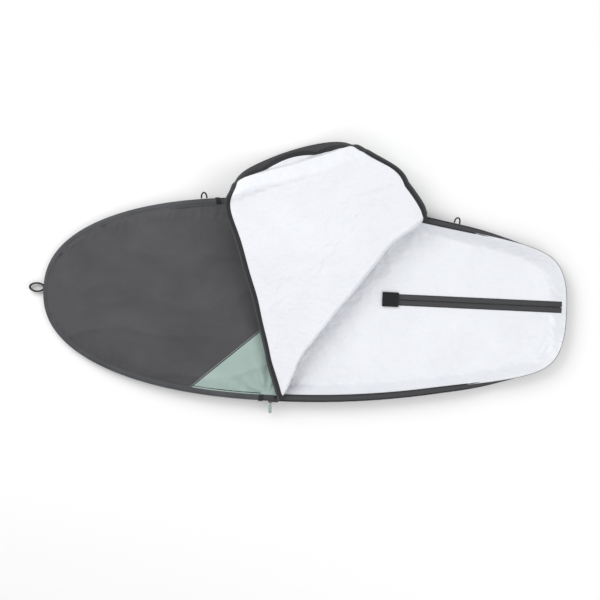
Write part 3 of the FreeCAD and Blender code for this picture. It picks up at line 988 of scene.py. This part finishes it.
class BAG_OT_lid(bpy.types.Operator):
    """Builds the folded-back lid as pieces that each bend across one of its lines"""
    bl_idname = "bag.lid"
    bl_label = "Lid"

    def execute(self, context):
        depth = sizes().wrinkle * 1000
        for k, part in enumerate(LID_BODIES):
            inner = lid_sheet("lid_lining_" + part, k, 0.0, lining(), "lining",
                              -depth * 0.9, True)
            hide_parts("flap_lining_" + part, "flap_foam_" + part)
            outer = lid_sheet("lid_cloth_" + part, k, PANEL, light_cloth(), "cloth",
                              depth * 0.4, False)
            band = [(11.0, 2.6), (0.8, 2.6), (0.0, 3.5), (0.8, 4.4), (11.0, 4.4)]
            lid_edge("lid_tape_" + part, k, band, grey_tape(), ("flap_tape_" + part,))
            piping = [(10.0, 1.6), (11.5, 0.6), (19.0, 0.2), (21.5, 1.0), (21.5, 6.2), (19.0, 7.0),
                      (11.5, 6.0), (10.0, 5.0)]
            lid_edge("lid_piping_" + part, k, piping, black_binding(), ())
        return {"FINISHED"}


# ---------------------------------------------------------------- slot
class BAG_OT_slot(bpy.types.Operator):
    """Builds the zipped mast slot in the tray and its patch"""
    bl_idname = "bag.slot"
    bl_label = "Mast slot"

    def execute(self, context):
        x0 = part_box("slot_tapes")[0][0] * 1000

        def lie(x, y, up):
            soft = 0.4 * folds(x, y, 40, 21.0)
            gap = (LENGTH / 2 - x) / END_SHARE
            return Vector((x, y, max(PANEL, tray_height(gap, LENGTH / 2 - 1)) + up + 1.0 + soft))
        for name, side in (("slot_tape_left", -1), ("slot_tape_right", 1)):
            def tape(a, b, side=side):
                x = x0 + (SLOT_END_X - x0) * a
                ragged = 1.5 * folds(a * 900, side * 40, 9, 2.0) if a > 0.985 else 0.0
                across = 1.6 + 17.6 * b
                lip = 1.9 * math.exp(-((across - 3.2) / 1.6) ** 2)
                up = 0.5 + lip + 0.35 * math.sin(math.pi * b)
                return lie(x + ragged, SLOT_Y + side * across, up)
            piece = grid_piece(name, 260, 10, tape, (640, 18), flip=side < 0)
            dress(piece, grey_tape(), "bag", ("slot_tapes",) if side < 0 else ())

            def hem(a, b, side=side):
                x = x0 + (SLOT_END_X - x0) * a
                return lie(x, SLOT_Y + side * (18.4 + 2.2 * b), 0.7 + 0.9 * math.sin(math.pi * b))
            edge = grid_piece(name + "_hem", 200, 4, hem, (640, 3), flip=side < 0)
            dress(edge, black_binding(), "bag")

        def coil(a, b):
            x = x0 + (SLOT_END_X - 3 - x0) * a
            turn = math.pi * b
            tooth = 0.25 * math.sin(2 * math.pi * x / 3.2)
            return lie(x, SLOT_Y - 2.4 * math.cos(turn), 0.6 + (1.6 + tooth) * math.sin(turn))
        teeth = grid_piece("slot_coil_piece", 900, 6, coil, (640, 5))
        dress(teeth, coil_teeth(), "bag", ("slot_coil",))

        def under(a, b):
            x = SLOT_UNDER_X[0] + (SLOT_UNDER_X[1] - SLOT_UNDER_X[0]) * a
            return Vector((x, SLOT_Y - 11 + 22 * b, 0.0 if 0.45 < b < 0.55 else 0.1))
        below = grid_piece("slot_tape_under", 60, 8, under, (546, 22), flip=True)
        dress(below, grey_tape(), "bag")

        low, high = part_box("slot_patch")
        bm = bmesh.new()
        bmesh.ops.create_cube(bm, size=1.0)
        centre = (Vector(low) + Vector(high)) / 2
        size = Vector(high) - Vector(low)
        bmesh.ops.scale(bm, verts=bm.verts, vec=size)
        bmesh.ops.bevel(bm, geom=bm.edges[:], offset=0.0025, segments=3, profile=0.5, affect="EDGES",
                        material=-1)
        bmesh.ops.translate(bm, verts=bm.verts, vec=centre)
        patch = finish_mesh("slot_patch_piece", bm)
        dress(patch, hook_loop(), "slot_patch", ("slot_patch",))
        for name in ("slot_slider", "slot_pull"):
            paint(name, zip_metal())
        return {"FINISHED"}


def paint(node, material):
    """Gives a CAD node that keeps its shape its finish."""
    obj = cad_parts[node]
    obj.data.materials.clear()
    obj.data.materials.append(material)


# ---------------------------------------------------------------- webbing and pulls
RING_SECTION = [(-0.5, -0.5), (0.5, -0.5), (0.62, 0.0), (0.5, 0.5), (-0.5, 0.5), (-0.62, 0.0)]


def ring_piece(name, line, width, thick, material, body, nodes, steps=64):
    """A closed loop of webbing: line gives a point and the outward direction, width runs along up."""
    def place(a, b):
        p, out, up = line(a)
        side, tall = RING_SECTION[round(b * 6) % 6]
        return p + out * thick * side + up * width * tall * (0.8 if abs(side) < 0.6 else 1.0)
    piece = grid_piece(name, steps, 6, place, (160, 40))
    mend(piece, close=False)
    return dress(piece, material, body, nodes)


class BAG_OT_webbing(bpy.types.Operator):
    """Builds the nose loop, the strap loops and the carry handle"""
    bl_idname = "bag.webbing"
    bl_label = "Loops and handle"

    def execute(self, context):
        up = Vector((0, 0, 1))

        def oval(a):
            t = 2 * math.pi * a
            out = Vector((math.cos(t) / 26, math.sin(t) / 15, 0)).normalized()
            return Vector((-971 + 26 * math.cos(t), 5 + 15 * math.sin(t), 12.5)), out, up
        ring_piece("nose_loop_piece", oval, 16, 5.0, webbing(), "bag", ("nose_loop",))

        for name, x in (("strap_loop_front", -376.0), ("strap_loop_rear", 536.0)):
            y = rim_half(x)
            slope = math.atan((rim_half(x + 5) - rim_half(x - 5)) / 10)
            along = Vector((math.cos(slope), math.sin(slope), 0))
            outward = Vector((-math.sin(slope), math.cos(slope), 0))
            z = rim_z(x)

            def eye(a, y=y, x=x, outward=outward, along=along, z=z):
                t = math.pi * (1.15 * a - 0.075)
                side, far = math.cos(t), math.sin(t)
                p = Vector((x, y, z + 0.5)) + along * side * 9.6
                p = p + outward * (2.0 + 20.0 * max(0.0, far) ** 0.8)
                return p, (along * side + outward * far).normalized(), up
            ring_piece(name + "_piece", eye, 8.6, 4.6, webbing(), "bag", (name,), 40)

        low, high = [Vector(c) * 1000 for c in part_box("carry_handle")]

        def strap(a, b):
            t = a * 3
            foot, edge = low.y + 0.5, high.y - 0.5
            wide = 25.0
            x0, x1 = low.x, high.x
            inner = [Vector((x0 + wide, foot)), Vector((x0 + wide, edge - wide)),
                     Vector((x1 - wide, edge - wide)), Vector((x1 - wide, foot))]
            outer = [Vector((x0, foot)), Vector((x0, edge)), Vector((x1, edge)), Vector((x1, foot))]
            i = min(2, int(t))
            f = t - i
            pi, po = inner[i].lerp(inner[i + 1], f), outer[i].lerp(outer[i + 1], f)
            ring = [(0, -1.1), (1, -1.1), (1, 1.1), (0, 1.1)][round(b * 4) % 4]
            p = pi.lerp(po, ring[0])
            return Vector((p.x, p.y, (low.z + high.z) / 2 + ring[1]))
        handle = grid_piece("carry_handle_piece", 60, 4, strap, (380, 25))
        mend(handle)
        dress(handle, webbing(), "bag", ("carry_handle",))

        low, high = [Vector(c) * 1000 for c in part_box("handle_wrap")]
        mid, half = (low + high) / 2, (high - low) / 2

        def wrap(a, b):
            t = 2 * math.pi * b
            c, s = math.cos(t), math.sin(t)
            end = 1 - 0.12 * abs(2 * a - 1) ** 8
            y = mid.y + half.y * end * math.copysign(math.sqrt(abs(c)), c)
            z = mid.z + half.z * end * math.copysign(math.sqrt(abs(s)), s)
            return Vector((low.x + (high.x - low.x) * a, y, z))
        sleeve = grid_piece("handle_wrap_piece", 30, 24, wrap, (110, 60))
        mend(sleeve)
        dress(sleeve, dark_cloth(), "bag", ("handle_wrap",))
        return {"FINISHED"}


class BAG_OT_sliders(bpy.types.Operator):
    """Finishes the zip sliders and their rings, and builds the pull tabs"""
    bl_idname = "bag.sliders"
    bl_label = "Sliders and pulls"

    def execute(self, context):
        for name in ("slider_low", "slider_high", "pull_ring_low", "pull_ring_high"):
            paint(name, zip_metal())
        for end in ("low", "high"):
            low, high = [Vector(c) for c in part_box("pull_tab_" + end)]
            centre = (low + high) / 2
            sign = -1 if end == "low" else 1
            bm = bmesh.new()
            bmesh.ops.create_cube(bm, size=1.0)
            bmesh.ops.scale(bm, verts=bm.verts, vec=(0.012, 0.036, 0.0034))
            upright = [e for e in bm.edges if abs((e.verts[0].co - e.verts[1].co).z) > 1e-4]
            bmesh.ops.bevel(bm, geom=upright,
                            offset=0.0045, segments=5, profile=0.5, affect="EDGES", material=-1)
            level = [e for e in bm.edges if abs(e.verts[0].co.z - e.verts[1].co.z) < 1e-6
                     and len(e.link_faces) == 2 and e.calc_face_angle(0) > 0.8]
            bmesh.ops.bevel(bm, geom=level,
                            offset=0.0009, segments=2, profile=0.5, affect="EDGES", material=-1)
            top = [f for f in bm.faces if f.normal.z > 0.9 and f.calc_area() > 1e-4]
            bmesh.ops.inset_individual(bm, faces=top, thickness=0.0022, depth=-0.0006)
            turn = Matrix.Rotation(math.radians(-32 * sign), 3, "X")
            if end == "high":
                turn = Matrix.Rotation(-9.36 * math.pi / 180, 3, "Z") @ turn
            bmesh.ops.rotate(bm, verts=bm.verts, cent=(0, 0, 0), matrix=turn)
            bmesh.ops.translate(bm, verts=bm.verts, vec=centre)
            tab = finish_mesh("pull_tab_%s_piece" % end, bm)
            dress(tab, pull_rubber(), "pull_" + end, ("pull_tab_" + end,))
        return {"FINISHED"}


# ---------------------------------------------------------------- stage
class BAG_OT_stage(bpy.types.Operator):
    """Builds the floor, the soft lights and the camera"""
    bl_idname = "bag.stage"
    bl_label = "Floor, lights, camera"

    def execute(self, context):
        scene = context.scene
        bm = bmesh.new()
        bmesh.ops.create_grid(bm, x_segments=2, y_segments=2, size=12.0)
        bmesh.ops.translate(bm, verts=bm.verts, vec=(0, 0, -0.001))
        floor = finish_mesh("floor", bm)
        material, tree, shader = finish("matt_paper", 0.95, 0.1)
        shader.inputs["Base Color"].default_value = linear("F7F7F7")
        floor.data.materials.append(material)

        world = bpy.data.worlds.new("studio")
        scene.world = world
        world.use_nodes = True
        world.node_tree.nodes["Background"].inputs["Color"].default_value = (1, 1, 1, 1)
        world.node_tree.nodes["Background"].inputs["Strength"].default_value = 0.64
        for name, place, size, power in (("key", (-1.9, 1.8, 2.8), 2.4, 72.0),
                                         ("fill", (2.2, -1.2, 3.0), 3.2, 44.0)):
            light = bpy.data.lights.new(name, "AREA")
            light.size = size
            light.energy = power
            lamp = bpy.data.objects.new(name, light)
            lamp.location = place
            lamp.rotation_euler = (-Vector(place)).to_track_quat("-Z", "Y").to_euler()
            scene.collection.objects.link(lamp)
        view = bpy.data.cameras.new("camera")
        height = sizes().camera_height
        view.sensor_width = SENSOR
        view.lens = SENSOR * (height - 0.05) / VIEW_WIDTH
        view.clip_end = 50.0
        camera = bpy.data.objects.new("camera", view)
        camera.location = (*CAMERA_XY, height)
        camera.rotation_euler = (0, 0, math.radians(CAMERA_TURN))
        scene.collection.objects.link(camera)
        scene.camera = camera
        scene.view_settings.view_transform = "Standard"
        return {"FINISHED"}


class BAG_PT_panel(bpy.types.Panel):
    """Lists the pieces of the bag"""
    bl_label = "Board bag"
    bl_idname = "BAG_PT_panel"
    bl_space_type = "VIEW_3D"
    bl_region_type = "UI"
    bl_category = "Board bag"

    def draw(self, context):
        for group in (context.scene.bag_sizes, context.scene.bag_colours):
            for key in group.bl_rna.properties.keys():
                if key not in ("rna_type", "name"):
                    self.layout.prop(group, key)
        for step in STEPS_IN_ORDER:
            self.layout.operator(step.bl_idname)


STEPS_IN_ORDER = (BAG_OT_stage, BAG_OT_tray, BAG_OT_rim, BAG_OT_nose, BAG_OT_lid, BAG_OT_slot,
                  BAG_OT_webbing, BAG_OT_sliders)
CLASSES = (BagSizes, BagColours) + STEPS_IN_ORDER + (BAG_PT_panel,)


def register():
    for cls in CLASSES:
        bpy.utils.register_class(cls)
    bpy.types.Scene.bag_sizes = PointerProperty(type=BagSizes)
    bpy.types.Scene.bag_colours = PointerProperty(type=BagColours)


def unregister():
    del bpy.types.Scene.bag_colours
    del bpy.types.Scene.bag_sizes
    for cls in reversed(CLASSES):
        bpy.utils.unregister_class(cls)


def main():
    register()
    bpy.ops.bag.stage()
    bpy.ops.bag.tray()
    bpy.ops.bag.rim()
    bpy.ops.bag.nose()
    bpy.ops.bag.lid()
    bpy.ops.bag.slot()
    bpy.ops.bag.webbing()
    bpy.ops.bag.sliders()


if __name__ == "__main__":
    main()
